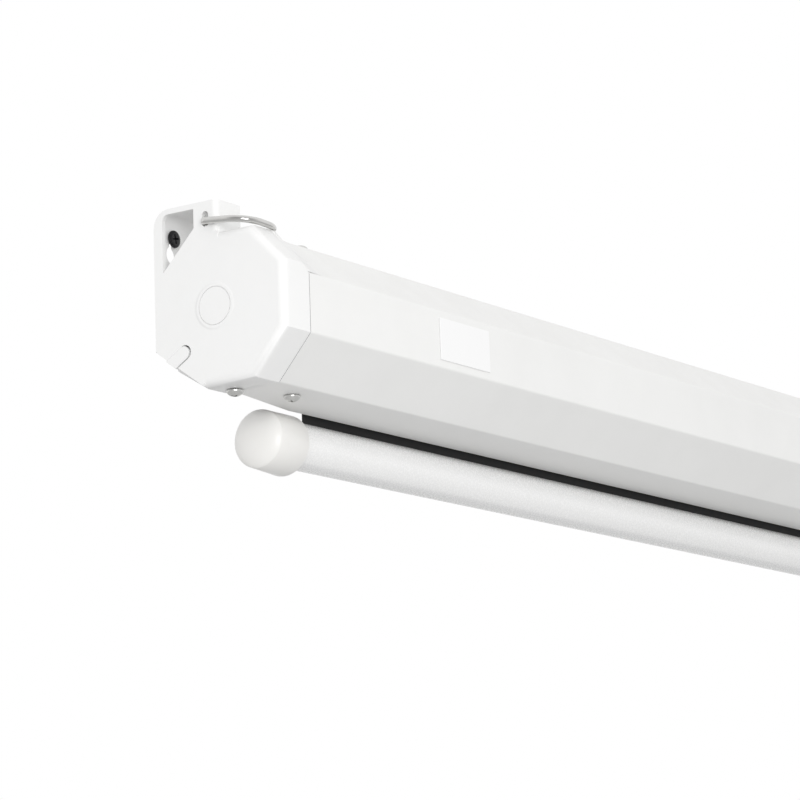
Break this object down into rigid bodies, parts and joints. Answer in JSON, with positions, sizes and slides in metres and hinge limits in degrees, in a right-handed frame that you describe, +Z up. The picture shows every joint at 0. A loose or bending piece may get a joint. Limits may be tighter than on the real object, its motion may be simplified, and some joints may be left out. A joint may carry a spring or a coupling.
{
  "type": "projection screen",
  "caption": "Manual pull-down projection screen: black-backed cloth wound on a spring roller inside a white eight-sided wall casing, ending in a round weight bar.",
  "frame": {"origin": "on the wall plane, in line with the middle of the left keyhole (its real distance from the left end face), level with the roller's axis", "axes": "+X along the casing from the left end to the right end as seen from the room, +Y into the wall, -Y towards the room, +Z up"},
  "size_m": [1.708, 0.0847, 0.1557],
  "materials": {
    "white_enamel": "smooth white powder coat, slightly glossy",
    "cap_plastic": "white moulded plastic, fine grain",
    "bar_plastic": "soft grey-white plastic, slightly warm",
    "badge_vinyl": "plain glossy white label, bare",
    "nickel": "nickel-plated wire, a little dull",
    "screw_steel": "zinc-plated steel",
    "plain_steel": "galvanised sheet, satin",
    "black_steel": "black oxide",
    "black_plastic": "black moulded nylon",
    "black_cloth": "coated cloth, black border and back, matt white face inside the border",
    "rod_plastic": "extruded plastic rod"
  },
  "bodies": {
    "housing": {"casing_shell": "white_enamel", "badge_plate": "badge_vinyl", "end_cap_left": "cap_plastic", "end_cap_right": "cap_plastic", "bearing_plate_left": "plain_steel", "bearing_plate_right": "plain_steel", "cap_screw_left": "screw_steel", "cap_screw_right": "screw_steel", "casing_screw_bottom_left": "screw_steel", "casing_screw_bottom_right": "screw_steel", "casing_screw_top_left": "screw_steel", "casing_screw_top_right": "screw_steel", "wall_screw_left": "black_steel", "wall_screw_right": "black_steel", "idle_axle": "screw_steel", "spring_shaft": "screw_steel", "ratchet_wheel": "screw_steel", "spring_anchor": "black_plastic", "torsion_spring": "plain_steel"},
    "roller": {"roller_tube": "plain_steel", "roller_plug_left": "black_plastic", "roller_plug_right": "black_plastic", "spring_collar": "black_plastic", "fabric_roll": "black_cloth", "pawl_pin_a": "screw_steel", "pawl_pin_b": "screw_steel"},
    "pawl_a": {"pawl_a": "plain_steel"},
    "pawl_b": {"pawl_b": "plain_steel"},
    "weight_bar": {"bar_tube": "white_enamel", "bar_cap_left": "bar_plastic", "bar_cap_right": "bar_plastic", "hem_rod": "rod_plastic", "handle_saddle": "white_enamel", "handle_screw_left": "screw_steel", "handle_screw_right": "screw_steel", "fabric_drop": "black_cloth"},
    "pull_handle": {"pull_handle": "nickel"},
    "ring_left": {"hanging_ring_left": "nickel"},
    "ring_right": {"hanging_ring_right": "nickel"}
  },
  "joints": [
    {"name": "bar_pull", "type": "slide", "parent": "housing", "child": "weight_bar", "axis": [0, 0, -1], "range_m": [-0.002, 1.50796], "deforming": ["fabric_drop"]},
    {"name": "roller_spin", "type": "hinge", "parent": "housing", "child": "roller", "pos_m": [0.8388, -0.0366, 0], "axis": [-1, 0, 0], "range_deg": [-6, 3600.1]},
    {"name": "pawl_a_swing", "type": "hinge", "parent": "roller", "child": "pawl_a", "pos_m": [1.6639, -0.0366, 0.0145], "axis": [-1, 0, 0], "range_deg": [0, 16]},
    {"name": "pawl_b_swing", "type": "hinge", "parent": "roller", "child": "pawl_b", "pos_m": [1.6639, -0.0366, -0.0145], "axis": [-1, 0, 0], "range_deg": [0, 16]},
    {"name": "handle_swing", "type": "hinge", "parent": "weight_bar", "child": "pull_handle", "pos_m": [0.8388, -0.01208, -0.0707], "axis": [1, 0, 0], "range_deg": [-80, 80]},
    {"name": "ring_left_swing", "type": "hinge", "parent": "housing", "child": "ring_left", "pos_m": [-0.01, -0.0321, 0.0425], "axis": [0, -1, 0], "range_deg": [0, 13]},
    {"name": "ring_right_swing", "type": "hinge", "parent": "housing", "child": "ring_right", "pos_m": [1.6876, -0.0321, 0.0425], "axis": [0, 1, 0], "range_deg": [0, 13]}
  ],
  "couplings": [
    {"joint": "roller_spin", "follows": "bar_pull", "rad_per_m": 41.667}
  ]
}
